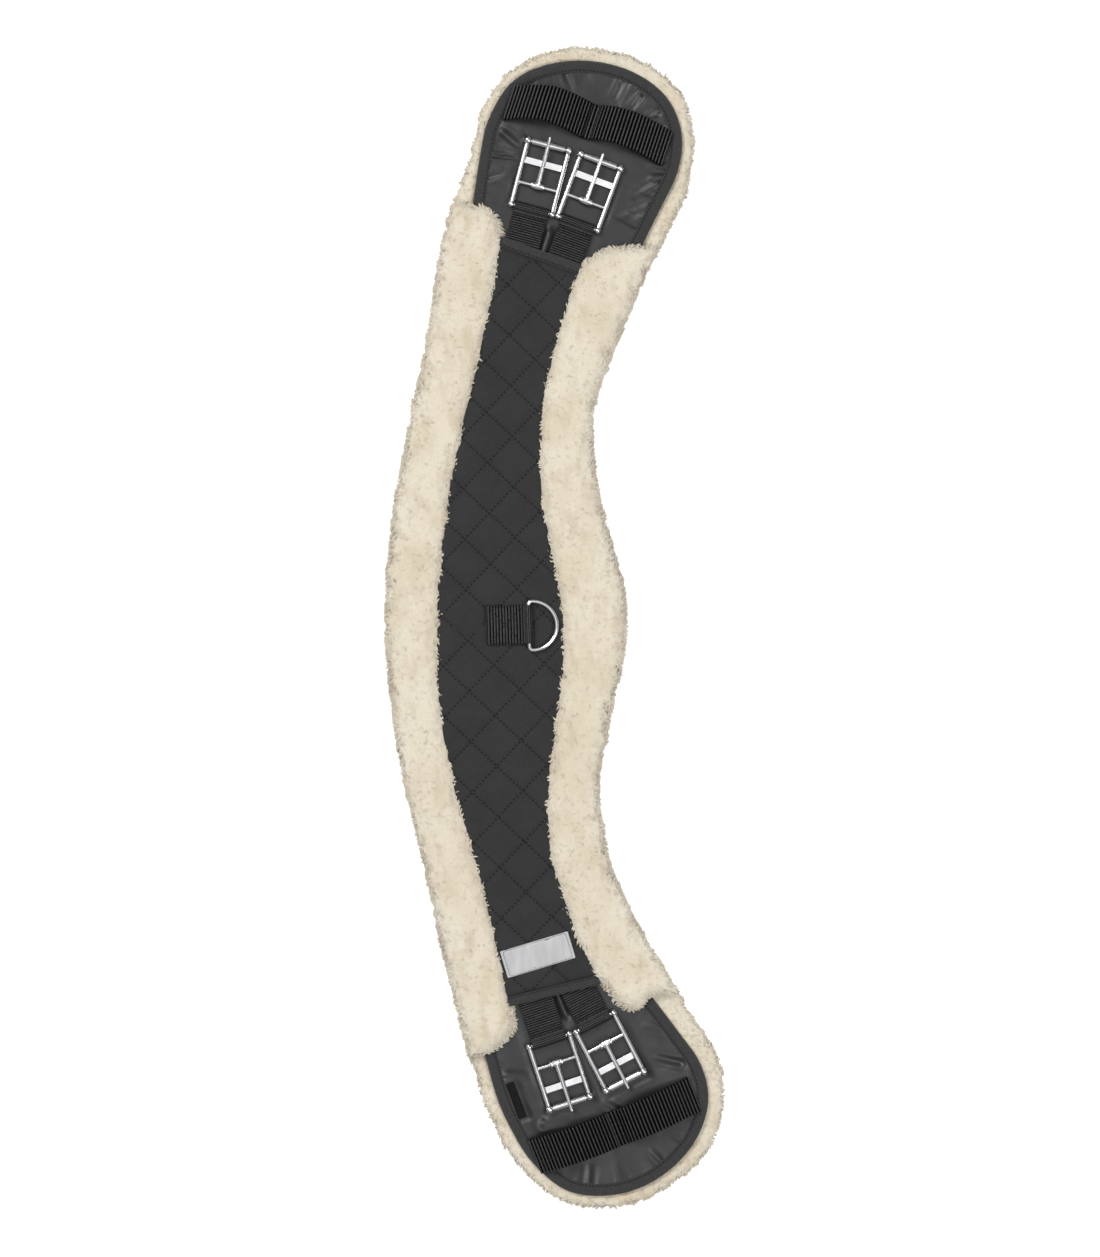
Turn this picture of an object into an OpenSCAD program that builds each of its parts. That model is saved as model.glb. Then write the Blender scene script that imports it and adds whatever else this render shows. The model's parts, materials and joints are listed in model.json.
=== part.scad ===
// Saddle girth: a contoured, fleece-lined girth with a pair of roller buckles at each end.
// It lies fleece side down: +Z up, +Y along the girth, origin under the middle of its outline.

/* [Layers] */
// Thickness of the fleece that lies against the horse
fleece_t = 10; // [8:0.5:12]
// Thickness of the foam padding
padding_t = 5.9; // [4:0.1:5.9]
// Height of the rounded fleece rolls along both edges
roll_top = 24; // [22:0.5:25]
// Thickness of the satin flap at each end
flap_t = 3; // [2:0.1:3]

/* [Ends] */
// Angle between each end flap and the long axis
lean = 20; // [18:0.5:22]
// Width of the tape that binds the flap
binding_w = 8.3; // [6:0.1:10]
// Fleece showing outside the flap binding
fringe = 9.5; // [8:0.5:12]
// Width of the webbing keeper
keeper_w = 26; // [22:0.5:28]
// Rise of each keeper loop above the flap
keeper_rise = 9; // [8:0.5:11]

/* [Buckles] */
// Distance between the centres of the side rods
rod_gap = 30.4; // [29.6:0.1:30.6]
// Distance from the buckle's webbing bar to its roller
buckle_l = 47.5; // [46:0.5:50]
// Diameter of the side rods
rod_d = 3.6; // [3.4:0.1:3.8]
// Diameter of the bar that the elastic is folded round
bar_d = 3.3; // [3:0.1:3.3]
// Outer diameter of the roller
roller_d = 5; // [4.6:0.1:5.2]
// Distance from the webbing bar to the bar that the tongue turns on
tongue_bar_at = 17; // [16:0.5:18]
// Width of the elastic strap that holds each buckle
elastic_w = 25.4; // [23:0.1:25.6]

/* [D-ring] */
// Wire diameter of the D-ring
ring_wire = 3; // [2.6:0.1:3.2]
// Radius of the D-ring's round side, on the wire's centre
ring_r = 17.5; // [17:0.1:18]

/* [Hidden] */
$fn = 48;

gap = 0.15;          // air left on each side of a meeting of two soft pieces
bend_y = 160;        // where the end thirds bend from the middle third
far = 300;           // larger than any outline, for cutting
upper = 0;
lower = 1;

// Each end has its own frame: u across, v outwards, from [x, |y|], turned by the lean.
end_at = [[15, 284.6], [10, 279.6]];
end_sign = [1, -1];

// Heights of the layers
flap_z = fleece_t + 0.1;
flap_top = flap_z + flap_t;
core_z = fleece_t + 0.1 + padding_t + 0.1;
core_t = 1.3;
core_w = 50;
panel_z = core_z + core_t + 0.1;
panel_t = 2.5;
panel_top = panel_z + panel_t;
padding_end = -30;   // v where padding and core stop, behind the elastics' pocket
flap_inner = -28;    // v where the flap stops, under the padding's end

// Outer edges of the girth, as [x, y] from the lower end to the upper end
outer_left = [[-70, -290], [-83, -230], [-94, -170], [-106, -110], [-114.5, -50], [-116, 0],
    [-113.5, 50], [-104, 110], [-90, 170], [-76.5, 230], [-64, 290]];
outer_right = [[97, -285], [72, -240], [48, -190], [37, -150], [35, -115], [41, -80],
    [50.5, -45], [58, -10], [57, 25], [49, 60], [40.5, 95], [38.5, 130], [41, 160],
    [51.5, 190], [73.5, 240], [98, 285]];

// Edges of the quilted panel, where the fleece rolls begin
panel_left = [[-35, -275], [-43, -230], [-54, -180], [-69, -120], [-78.5, -60], [-80, 0],
    [-74, 60], [-63.5, 120], [-47, 180], [-35, 230], [-24, 285]];
panel_right = [[38, -270], [33, -260], [20.5, -235], [9, -200], [-1, -165], [-1.5, -130],
    [2.5, -90], [10.5, -40], [13.3, 0], [8.8, 40], [0, 90], [0.5, 130], [4, 165],
    [12.8, 200], [23.5, 235], [34, 262], [38, 272]];

// Outer edge of each flap, as [u, v]
flap_edge = [
    [[-62.5, 0], [-69, 38], [-71, 62], [-64.5, 91], [-46, 111], [-17, 124.5], [16, 127.3],
        [45, 118], [64, 96.5], [70, 69], [66.5, 40], [61, 2]],
    [[-68.5, 0], [-72.5, 35], [-71.5, 62], [-66, 90], [-50, 118], [-21, 132.7], [12, 134],
        [45, 121], [67, 97], [72.5, 69], [66, 40], [56, 4]]];

// How much wider than usual the fringe is at each point of the flap's edge
fringe_extra = [
    [0, -3, -2.5, -2, -1, 1, 0.5, 1, -0.5, 0, 1.5, 1.5],
    [1, -0.5, 0, -1.5, -1.5, -1, -1, 2, 1.5, 3, 5, 6]];

// Rounded ends of the fleece rolls, as [u, v] from the panel outwards
roll_end_left = [
    [[-37, -16], [-38.5, -10], [-44, -3], [-56, -0.5], [-72, -4], [-150, -27]],
    [[-41.4, -19], [-41.5, -8], [-47, -2], [-60, 2.5], [-74, 3], [-150, -10]]];
roll_end_right = [
    [[27.5, -16], [31, -10], [39, -1], [49, 4], [62, 8.5], [110, 20]],
    [[29, -12], [30.7, -2], [35.5, 9], [42, 13.5], [51, 13], [60, 9.5], [110, 22]]];

// Ends of the quilted panel, as [u, v] at the left and the right of the binding's outer edge
panel_end = [[[-60, -15], [60, -18.3]], [[-60, -24.5], [60, -7.8]]];
panel_binding_w = 7;

// Each buckle: [end, u, v, yaw] of its webbing bar
buckles = [[upper, -21.2, 10, -3.5], [upper, 13.6, 10.8, 2], [lower, -22.4, 11.8, -3.5],
    [lower, 13, 11.9, 5.5]];
buckle_names = ["upper_left", "upper_right", "lower_left", "lower_right"];

pin_play = 0.05;
elastic_t = 3;
loop_t = 1.4;
loop_r = bar_d / 2 + pin_play + loop_t;
buckle_z = flap_top + 0.25 + loop_r;
elastic_z = flap_top + 0.3;
elastic_tail = 36;
tongue_bar_d = 3;
tongue_l = 35.5;
tongue_hub_d = 6.4;
tongue_hub_w = 5;
tongue_foot_r = 1.9;
tongue_tip_r = 1.25;
tongue_rise = 3;     // the tongue climbs this much, to lie on the roller
tongue_lift = 1.4;
collar_r = 2.7;
collar_l = 2;
guard_at = buckle_l - 14;
guard_w = 4.6;
guard_t = 2;
guard_drop = 0.6;    // keeps the guard bar clear of the tongue over it
axle_d = 3;
knuckle_r = 3.2;
knuckle_l = 4.4;
foot_r = 2.5;
foot_l = 3.8;
roller_l = 24;

keeper_t = 1.6;
keeper_v = [83, 89.5];
keeper_reach = [[-61, 58], [-63, 60]];
keeper_seam = 8;     // width of the stitched middle of a keeper
keeper_z = flap_top + 1.4;

ring_z = panel_top + 3;
ring_at = [-12.5, 1];
ring_corner = 2.5;
ring_tab_w = 27.8;
ring_tab_l = 30.5;
ring_tab_shift = 1;  // the ring has slid this far along its tab
ring_tab_t = 2.6;
ring_loop_r = ring_wire / 2 + pin_play + 1.2;

// A smooth line through the points p, with n steps between neighbours
function along(a, b, c, d, t) = 0.5 * (2 * b + (c - a) * t + (2 * a - 5 * b + 4 * c - d) * t * t
    + (3 * b - a - 3 * c + d) * t * t * t);
function smooth(p, n) = [
    for (i = [0 : len(p) - 2], k = [0 : n - 1])
        along(p[max(i - 1, 0)], p[i], p[i + 1], p[min(i + 2, len(p) - 1)], k / n),
    p[len(p) - 1]];
function reversed(p) = [for (i = [len(p) - 1 : -1 : 0]) p[i]];
// A point of an end's frame, in the girth's frame
function placed(e, p) = [
    end_at[e].x + p.x * cos(lean) + p.y * sin(lean),
    end_sign[e] * (end_at[e].y - p.x * sin(lean) + p.y * cos(lean))];
function placed_all(e, p) = [for (q = p) placed(e, q)];
// The line p moved by d to its left, where d may be a list with one distance for each point
function unit(v) = v / norm(v);
function grown(p, d) = [for (i = [0 : len(p) - 1])
    let (t = unit(p[min(i + 1, len(p) - 1)] - p[max(i - 1, 0)]))
        p[i] + (is_list(d) ? d[i] : d) * [-t.y, t.x]];

module at_end(e) {
    mirror([0, e == lower ? 1 : 0, 0]) translate([end_at[e].x, end_at[e].y, 0]) rotate(-lean)
        children();
}

module layer(z, t) {
    translate([0, 0, z]) linear_extrude(t) children();
}

// Plan outlines

module fleece_outline() {
    ends = [for (e = [upper, lower])
        placed_all(e, [for (p = grown(flap_edge[e], [for (d = fringe_extra[e]) fringe + d]))
            if (p.y > (p.x < 0 ? 30 : 50)) p])];
    polygon(smooth(concat(outer_left, ends[upper], reversed(outer_right),
        reversed(ends[lower]), [outer_left[0]]), 5));
}

module flap_outline(e, inset) {
    edge = smooth(grown(flap_edge[e], -inset), 5);
    polygon(concat([[-58 + inset, flap_inner]], edge, [[52 - inset, flap_inner]]));
}

module panel_outline(inset) {
    left = smooth(panel_left, 4);
    right = smooth(panel_right, 4);
    polygon(concat([for (p = left) p + [inset, 0]], [for (p = reversed(right)) p - [inset, 0]]));
}

// Everything on the girth's side of a line across an end, inset by d
module before_line(e, line, d) {
    polygon(placed_all(e, [line[0] - [0, d], line[1] - [0, d], [far, -2 * far], [-far, -2 * far]]));
}

module before_end(e, v) {
    before_line(e, [[-far, v], [far, v]], 0);
}

module roll_outline(side) {
    is_left = side == "left";
    line = smooth(is_left ? panel_left : panel_right, 4);
    ends = is_left ? roll_end_left : roll_end_right;
    edge = [for (p = line) if (abs(p.y) < (is_left ? 262 : 245)) p];
    intersection() {
        fleece_outline();
        polygon(concat(reversed(placed_all(lower, smooth(ends[lower], 4))), edge,
            placed_all(upper, smooth(ends[upper], 4))));
    }
}

// Thirds of the girth: the middle, and the two ends that bend from it

module third(name) {
    if (name == "centre") translate([-far, -bend_y + gap]) square([2 * far, 2 * (bend_y - gap)]);
    if (name == "upper") translate([-far, bend_y + gap]) square([2 * far, 2 * far]);
    if (name == "lower") mirror([0, 1]) translate([-far, bend_y + gap]) square([2 * far, 2 * far]);
}

module fleece(name) {
    color("ivory") layer(0, fleece_t) intersection() {
        fleece_outline();
        third(name);
    }
}

module padding(name) {
    color("gainsboro") layer(fleece_t + 0.1, padding_t) intersection() {
        panel_outline(gap);
        before_end(upper, padding_end);
        before_end(lower, padding_end);
        third(name);
    }
}

module core_webbing(name) {
    middle = [for (i = [0 : 10]) let (y = -250 + 50 * i)
        [(lookup(y, [for (p = panel_left) [p.y, p.x]])
            + lookup(y, [for (p = panel_right) [p.y, p.x]])) / 2, y]];
    color("dimgray") layer(core_z, core_t) intersection() {
        polygon(concat([for (p = middle) p - [core_w / 2, 0]],
            [for (p = reversed(middle)) p + [core_w / 2, 0]]));
        panel_outline(1);
        before_end(upper, padding_end - 2);
        before_end(lower, padding_end - 2);
        third(name);
    }
}

module quilted_panel(name) {
    color("#3a3a3b") layer(panel_z, panel_t) intersection() {
        panel_outline(gap);
        before_line(upper, panel_end[upper], panel_binding_w);
        before_line(lower, panel_end[lower], panel_binding_w);
        third(name);
    }
}

module fleece_roll(side, name) {
    color("ivory") difference() {
        layer(fleece_t + 0.1, roll_top - fleece_t - 0.1) intersection() {
            roll_outline(side);
            third(name);
        }
        for (e = [upper, lower])
            at_end(e) translate([-far / 2, flap_inner - 0.5, 0])
                cube([far, far, flap_top + 0.1]);
    }
}

// Soft pieces at each end

module end_flap(e) {
    color("#46464a") at_end(e) layer(flap_z, flap_t) flap_outline(e, 0);
}

module flap_binding(e) {
    color("#3c3c3c") at_end(e) layer(flap_top, 1.2) difference() {
        flap_outline(e, 0);
        flap_outline(e, binding_w);
        translate([-far, -far]) square([far, far + 4]);
        translate([0, -far]) square([far, far + 16]);
    }
}

module panel_binding(e) {
    color("#3c3c3c") layer(panel_z - 0.3, panel_t + 0.9) intersection() {
        panel_outline(gap + 0.15);
        before_line(e, panel_end[e], 0);
        difference() {
            square(4 * far, center = true);
            before_line(e, panel_end[e], panel_binding_w - 0.02);
        }
    }
}

// A keeper is one webbing strip sewn at both ends and its middle, so it makes two loops
module keeper(e) {
    reach = keeper_reach[e];
    steps = 10;
    loops = [[reach[0], -keeper_seam / 2], [keeper_seam / 2, reach[1]]];
    top = [for (l = loops, i = [0 : steps])
        [l[0] + (l[1] - l[0]) * i / steps, pow(sin(180 * i / steps), 0.8) * keeper_rise]];
    color("#1c1c1e") at_end(e) translate([0, keeper_v[e] + keeper_w / 2, keeper_z])
        rotate([90, 0, 0]) linear_extrude(keeper_w)
            polygon(concat(top + [for (p = top) [0, keeper_t]], reversed(top)));
}

module label_patch() {
    color("silver") at_end(lower) translate([-7, -49, 0]) rotate(5)
        layer(panel_top + 0.05, 0.8) square([51, 20], center = true);
}

module size_tag() {
    color("#18181a") at_end(lower) translate([-60.5, 43.5, 0]) rotate(1)
        layer(flap_top + 0.05, 0.6) square([6, 27], center = true);
}

// Elastics and buckles, drawn with the webbing bar on the u axis

module at_buckle(i) {
    b = buckles[i];
    at_end(b[0]) translate([b[1], b[2], buckle_z]) rotate(-b[3]) children();
}

module across(d, l) {
    rotate([0, 90, 0]) cylinder(d = d, h = l, center = true);
}

module elastic(i) {
    base = elastic_z - buckle_z;
    color("#202022") at_buckle(i) difference() {
        union() {
            translate([-elastic_w / 2, -elastic_tail, base]) cube([elastic_w, elastic_tail, elastic_t]);
            across(2 * loop_r, elastic_w);
        }
        across(bar_d + 2 * pin_play, elastic_w + 1);
    }
}

// A rounded bead on the u axis, of radius r and length l
module bead(r, l) {
    rotate([0, 90, 0]) rotate_extrude() intersection() {
        circle(r = r);
        translate([0, -l / 2]) square([r, l]);
    }
}

module side_rod(x) {
    translate([x, 0, 0]) {
        rotate([-90, 0, 0]) cylinder(d = rod_d, h = buckle_l);
        bead(foot_r, foot_l);
        translate([0, buckle_l, 0]) bead(knuckle_r, knuckle_l);
    }
}

module buckle_frame(i) {
    half = rod_gap / 2;
    collar_at = tongue_hub_w / 2 + 0.15 + collar_l / 2;
    color("silver") at_buckle(i) {
        side_rod(-half);
        side_rod(half);
        across(bar_d, rod_gap);
        translate([0, tongue_bar_at, 0]) across(tongue_bar_d, rod_gap);
        for (x = [-collar_at, collar_at]) translate([x, tongue_bar_at, 0]) bead(collar_r, collar_l);
        translate([-half, guard_at - guard_w / 2, -guard_t / 2 - guard_drop])
            cube([rod_gap, guard_w, guard_t]);
        translate([0, buckle_l, 0]) across(axle_d, rod_gap);
    }
}

module tongue(i) {
    climb = atan(tongue_rise / tongue_l);
    color("silver") at_buckle(i) translate([0, tongue_bar_at, 0]) difference() {
        union() {
            across(tongue_hub_d, tongue_hub_w);
            translate([0, 0, tongue_lift]) rotate([climb - 90, 0, 0]) {
                cylinder(r1 = tongue_foot_r, r2 = tongue_tip_r, h = tongue_l);
                translate([0, 0, tongue_l]) sphere(r = tongue_tip_r);
            }
        }
        across(tongue_bar_d + 2 * pin_play, tongue_hub_w + 1);
    }
}

module roller(i) {
    color("silver") at_buckle(i) translate([0, buckle_l, 0]) difference() {
        across(roller_d, roller_l);
        across(axle_d + 2 * pin_play, roller_l + 1);
    }
}

// D-ring and its webbing tab on the middle of the panel

module d_ring_tab() {
    color("#202022") translate([ring_at.x, ring_at.y + ring_tab_shift, ring_z]) difference() {
        union() {
            translate([-ring_tab_l, -ring_tab_w / 2, 0.15 - ring_loop_r])
                cube([ring_tab_l, ring_tab_w, ring_tab_t]);
            rotate([90, 0, 0]) cylinder(r = ring_loop_r, h = ring_tab_w, center = true);
        }
        rotate([90, 0, 0]) cylinder(d = ring_wire + 2 * pin_play, h = ring_tab_w + 1, center = true);
    }
}

module wire_bend(r, from, to) {
    rotate(from) rotate_extrude(angle = to - from) translate([r, 0]) circle(d = ring_wire);
}

module d_ring() {
    straight = ring_r - ring_corner;
    color("silver") translate([ring_at.x, ring_at.y, ring_z]) {
        rotate([90, 0, 0]) cylinder(d = ring_wire, h = 2 * straight, center = true);
        for (s = [-1, 1])
            translate([ring_corner, s * straight, 0])
                wire_bend(ring_corner, s > 0 ? 90 : 180, s > 0 ? 180 : 270);
        translate([ring_corner, 0, 0]) wire_bend(ring_r, -90, 90);
    }
}

for (name = ["centre", "upper", "lower"]) {
    fleece(name);
    padding(name);
    core_webbing(name);
    quilted_panel(name);
    fleece_roll("left", name);
    fleece_roll("right", name);
}
for (e = [upper, lower]) {
    name = ["upper", "lower"][e];
    end_flap(e);
    flap_binding(e);
    panel_binding(e);
    keeper(e);
}
for (i = [0 : len(buckles) - 1]) {
    elastic(i);
    buckle_frame(i);
    tongue(i);
    roller(i);
}
label_patch();
size_tag();
d_ring_tab();
d_ring();
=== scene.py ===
"""Visual model of the saddle girth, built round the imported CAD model."""
import json
import math
from functools import partial

import bmesh
import bpy
import numpy as np
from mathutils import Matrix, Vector
from mathutils.geometry import delaunay_2d_cdt


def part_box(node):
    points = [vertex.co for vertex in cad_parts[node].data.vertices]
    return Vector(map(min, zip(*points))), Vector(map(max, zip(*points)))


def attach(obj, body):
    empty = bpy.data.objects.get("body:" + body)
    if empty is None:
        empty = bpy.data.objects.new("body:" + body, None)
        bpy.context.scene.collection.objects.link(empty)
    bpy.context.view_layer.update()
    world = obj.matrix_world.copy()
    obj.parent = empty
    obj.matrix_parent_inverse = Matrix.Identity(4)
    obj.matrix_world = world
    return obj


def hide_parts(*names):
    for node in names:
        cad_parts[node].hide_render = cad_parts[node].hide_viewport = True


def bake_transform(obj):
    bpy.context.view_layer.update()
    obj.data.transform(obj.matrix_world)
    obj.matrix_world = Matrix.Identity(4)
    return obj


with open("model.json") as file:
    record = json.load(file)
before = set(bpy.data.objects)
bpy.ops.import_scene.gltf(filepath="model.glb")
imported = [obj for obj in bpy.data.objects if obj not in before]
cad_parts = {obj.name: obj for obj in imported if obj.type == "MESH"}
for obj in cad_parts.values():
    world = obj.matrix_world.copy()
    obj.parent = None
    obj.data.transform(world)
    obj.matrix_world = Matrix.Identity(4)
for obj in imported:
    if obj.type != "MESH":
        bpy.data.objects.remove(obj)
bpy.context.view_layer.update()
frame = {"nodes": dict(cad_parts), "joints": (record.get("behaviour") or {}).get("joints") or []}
NODES = frame["nodes"]
JOINTS = {joint["name"]: joint for joint in frame["joints"]}

# Lengths below are in millimetres, and meshes are scaled to metres when they are made.
MM = 0.001
ENDS = ("upper", "lower")
SIDES = ("left", "right")
LEAN = math.radians(20)
END_AT = {"upper": (15.0, 284.6), "lower": (10.0, 279.6)}
END_SIGN = {"upper": 1, "lower": -1}
ABOVE_FLOOR = 0.1

# Stitches: pitch, length and radius of a bead, and for a zigzag its angle
QUILT_STITCH = (3.2, 1.5, 0.62)
CROSS_BINDING_STITCH = (3.0, 1.9, 0.36)
FLAP_BINDING_STITCH = (2.6, 1.6, 0.45)
KEEPER_STITCH = (2.1, 2.0, 0.38, 0.6)
ELASTIC_STITCH = (2.2, 1.6, 0.36)
ZIGZAG_STITCH = (1.5, 1.9, 0.4, 0.8)
TAB_STITCH = (2.2, 1.6, 0.38)
LABEL_STITCH = (2.0, 1.3, 0.28)

FLEECE_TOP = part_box("fleece_centre")[1].z / MM
ROLL_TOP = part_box("fleece_roll_left_centre")[1].z / MM
FLAP_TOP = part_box("end_flap_upper")[1].z / MM
PANEL_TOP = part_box("quilted_panel_centre")[1].z / MM
PANEL_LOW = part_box("quilted_panel_centre")[0].z / MM


# ---- plane geometry

def turned(end, points):
    """Points [u, v] or [u, v, z] of an end's own frame, in the girth's frame."""
    p = np.asarray(points, float)
    x0, y0 = END_AT[end]
    x = x0 + p[..., 0] * math.cos(LEAN) + p[..., 1] * math.sin(LEAN)
    y = y0 - p[..., 0] * math.sin(LEAN) + p[..., 1] * math.cos(LEAN)
    return np.concatenate([np.stack([x, END_SIGN[end] * y], -1), p[..., 2:]], -1)


def end_frame(end, xy):
    """u and v of points in the girth's frame."""
    x0, y0 = END_AT[end]
    dx, dy = xy[..., 0] - x0, END_SIGN[end] * xy[..., 1] - y0
    return dx * math.cos(LEAN) - dy * math.sin(LEAN), dx * math.sin(LEAN) + dy * math.cos(LEAN)


def smoothstep(low, high, value):
    t = np.clip((value - low) / (high - low), 0, 1)
    return t * t * (3 - 2 * t)


def unit(vectors):
    return vectors / np.maximum(np.linalg.norm(vectors, axis=-1, keepdims=True), 1e-9)


def walk(following, start):
    """The closed loop from one key to the next."""
    loop = [start]
    while following[loop[-1]] != start:
        loop.append(following[loop[-1]])
    return loop


def outline(node):
    """The outline of a CAD node's flat top, anticlockwise."""
    mesh = NODES[node].data
    points = np.array([v.co for v in mesh.vertices]) / MM
    top = points[:, 2].max()
    follows = set()
    for face in mesh.polygons:
        if face.normal.z > 0.99 and points[face.vertices[0], 2] > top - 0.01:
            corners = [tuple(np.round(points[i, :2], 2)) for i in face.vertices]
            for a, b in zip(corners, corners[1:] + corners[:1]):
                follows.add((a, b))
    step = {a: b for a, b in follows if (b, a) not in follows}
    return np.array(walk(step, min(step)))


def run(loop, first, last):
    """The part of an anticlockwise loop from one of its points to another."""
    n = len(loop)
    i = int(np.argmin(np.linalg.norm(loop - first, axis=1)))
    j = int(np.argmin(np.linalg.norm(loop - last, axis=1)))
    return loop[[(i + k) % n for k in range((j - i) % n + 1)]]


def long_outline(kind):
    """One outline round a piece that the CAD model has in three thirds."""
    middle, upper, lower = (outline(f"{kind}_{t}") for t in ("centre", "upper", "lower"))

    def corner(loop, side, low):
        near = loop[np.abs(loop[:, 1] - (loop[:, 1].min() if low else loop[:, 1].max())) < 0.1]
        return near[np.argmax(near[:, 0] * side)]

    return np.concatenate([
        run(middle, corner(middle, 1, True), corner(middle, 1, False)),
        run(upper, corner(upper, 1, True), corner(upper, -1, True)),
        run(middle, corner(middle, -1, False), corner(middle, -1, True)),
        run(lower, corner(lower, -1, False), corner(lower, 1, False))])


def inside_distance(xy, loop):
    """Distance from each point to a closed outline, positive inside it."""
    a, b = loop, np.roll(loop, -1, axis=0)
    out = np.empty(len(xy))
    for start in range(0, len(xy), 4096):
        p = xy[start:start + 4096, None, :]
        d = b - a
        t = np.clip(((p - a) * d).sum(-1) / np.maximum((d * d).sum(-1), 1e-9), 0, 1)
        near = np.linalg.norm(a + t[..., None] * d - p, axis=-1).min(1)
        up = (a[:, 1] > p[..., 1]) != (b[:, 1] > p[..., 1])
        with np.errstate(divide="ignore", invalid="ignore"):
            cross = a[:, 0] + (p[..., 1] - a[:, 1]) * d[:, 0] / d[:, 1]
        odd = (up & (p[..., 0] < cross)).sum(1) % 2
        out[start:start + 4096] = np.where(odd == 1, near, -near)
    return out


class DistanceMap:
    def __init__(self, loop, step=1.6, reach=30):
        self.low = loop.min(0) - reach
        self.step = step
        high = loop.max(0) + reach
        x, y = (np.arange(a, b + step, step) for a, b in zip(self.low, high))
        gx, gy = np.meshgrid(x, y, indexing="ij")
        self.table = inside_distance(np.stack([gx.ravel(), gy.ravel()], -1), loop).reshape(gx.shape)

    def __call__(self, xy):
        limit = np.array(self.table.shape) - 1.001
        q = np.clip((np.asarray(xy)[..., :2] - self.low) / self.step, 0, limit)
        i = q.astype(int)
        f = q - i
        a, b = i[..., 0], i[..., 1]
        t = self.table
        return ((t[a, b] * (1 - f[..., 0]) + t[a + 1, b] * f[..., 0]) * (1 - f[..., 1])
                + (t[a, b + 1] * (1 - f[..., 0]) + t[a + 1, b + 1] * f[..., 0]) * f[..., 1])


def resampled(line, step, closed=False):
    """Points a step apart along a line."""
    line = np.asarray(line, float)
    if closed:
        line = np.concatenate([line, line[:1]])
    length = np.concatenate([[0], np.cumsum(np.linalg.norm(np.diff(line, axis=0), axis=1))])
    count = max(2, int(round(length[-1] / step)) + 1)
    at = np.linspace(0, length[-1], count)
    points = np.stack([np.interp(at, length, line[:, k]) for k in range(line.shape[1])], -1)
    return points[:-1] if closed else points


def curve_through(knots, value):
    """A smooth curve through (at, height) knots."""
    knots = np.asarray(knots, float)
    x, y = knots[:, 0], knots[:, 1]
    slope = np.gradient(y, x)
    value = np.clip(value, x[0], x[-1])
    i = np.clip(np.searchsorted(x, value) - 1, 0, len(x) - 2)
    h = x[i + 1] - x[i]
    t = (value - x[i]) / h
    return ((1 + 2 * t) * (1 - t) ** 2 * y[i] + t * (1 - t) ** 2 * h * slope[i]
            + t * t * (3 - 2 * t) * y[i + 1] + t * t * (t - 1) * h * slope[i + 1])


def noise(points, size, seed):
    """Smooth noise from -1 to 1 with features about size across."""
    p = np.asarray(points, float)
    if p.shape[-1] == 2:
        p = np.concatenate([p, np.zeros(p.shape[:-1] + (1,))], -1)
    table = np.random.default_rng(seed).random((32, 32, 32)) * 2 - 1
    q = p / size + 100.37
    cell = np.floor(q).astype(int)
    f = q - cell
    f = f * f * (3 - 2 * f)
    total = np.zeros(p.shape[:-1])
    for corner in np.ndindex(2, 2, 2):
        weight = np.prod(np.where(np.array(corner) == 1, f, 1 - f), -1)
        i = (cell + corner) % 32
        total += weight * table[i[..., 0], i[..., 1], i[..., 2]]
    return total


# ---- meshes

class Shape:
    """Points and faces of one piece, which may use several materials."""

    def __init__(self):
        self.points, self.faces, self.kinds, self.count = [], [], [], 0
        self.normals = []

    def add(self, points, faces, kind=0, normals=None):
        """normals may give the shading normal of some points; the others are zero."""
        points = np.asarray(points, float).reshape(-1, 3)
        self.normals.append(np.zeros_like(points) if normals is None else normals)
        faces = (np.asarray(faces) + self.count).tolist() if isinstance(faces, np.ndarray) else [
            [i + self.count for i in face] for face in faces]
        self.points.append(points)
        self.faces += faces
        self.kinds += [kind] * len(faces)
        self.count += len(points)

    def make(self, name, slot, *finishes):
        mesh = bpy.data.meshes.new(name)
        mesh.from_pydata((np.concatenate(self.points) * MM).tolist(), [], self.faces)
        for finish in finishes:
            mesh.materials.append(finish.item)
        mesh.polygons.foreach_set("material_index", self.kinds)
        mesh.polygons.foreach_set("use_smooth", [True] * len(mesh.polygons))
        mesh.update()
        normals = np.concatenate(self.normals)
        if normals.any():
            mesh.normals_split_custom_set_from_vertices(normals.tolist())
        piece = bpy.data.objects.new(name, mesh)
        bpy.context.scene.collection.objects.link(piece)
        return piece


def grid_faces(rows, columns):
    """Quads between rows of points, each row a closed ring of columns points."""
    r, c = (k.ravel() for k in np.mgrid[:rows - 1, :columns])
    r, c, ahead = r * columns, c, (c + 1) % columns
    return np.stack([r + c, r + ahead, r + columns + ahead, r + columns + c], -1)


def tube_faces(rows, columns):
    """Quads of a tube of closed rings, and its two end caps."""
    faces = grid_faces(rows, columns).tolist()
    return faces + [list(range(columns))[::-1], [(rows - 1) * columns + i for i in range(columns)]]


def facing_up(flat, triangles):
    a, b, c = (flat[triangles[:, k]] for k in range(3))
    down = np.cross(b - a, c - a) < 0
    triangles[down] = triangles[down][:, ::-1]
    return triangles


SLOPE_REACH = 0.3


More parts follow.
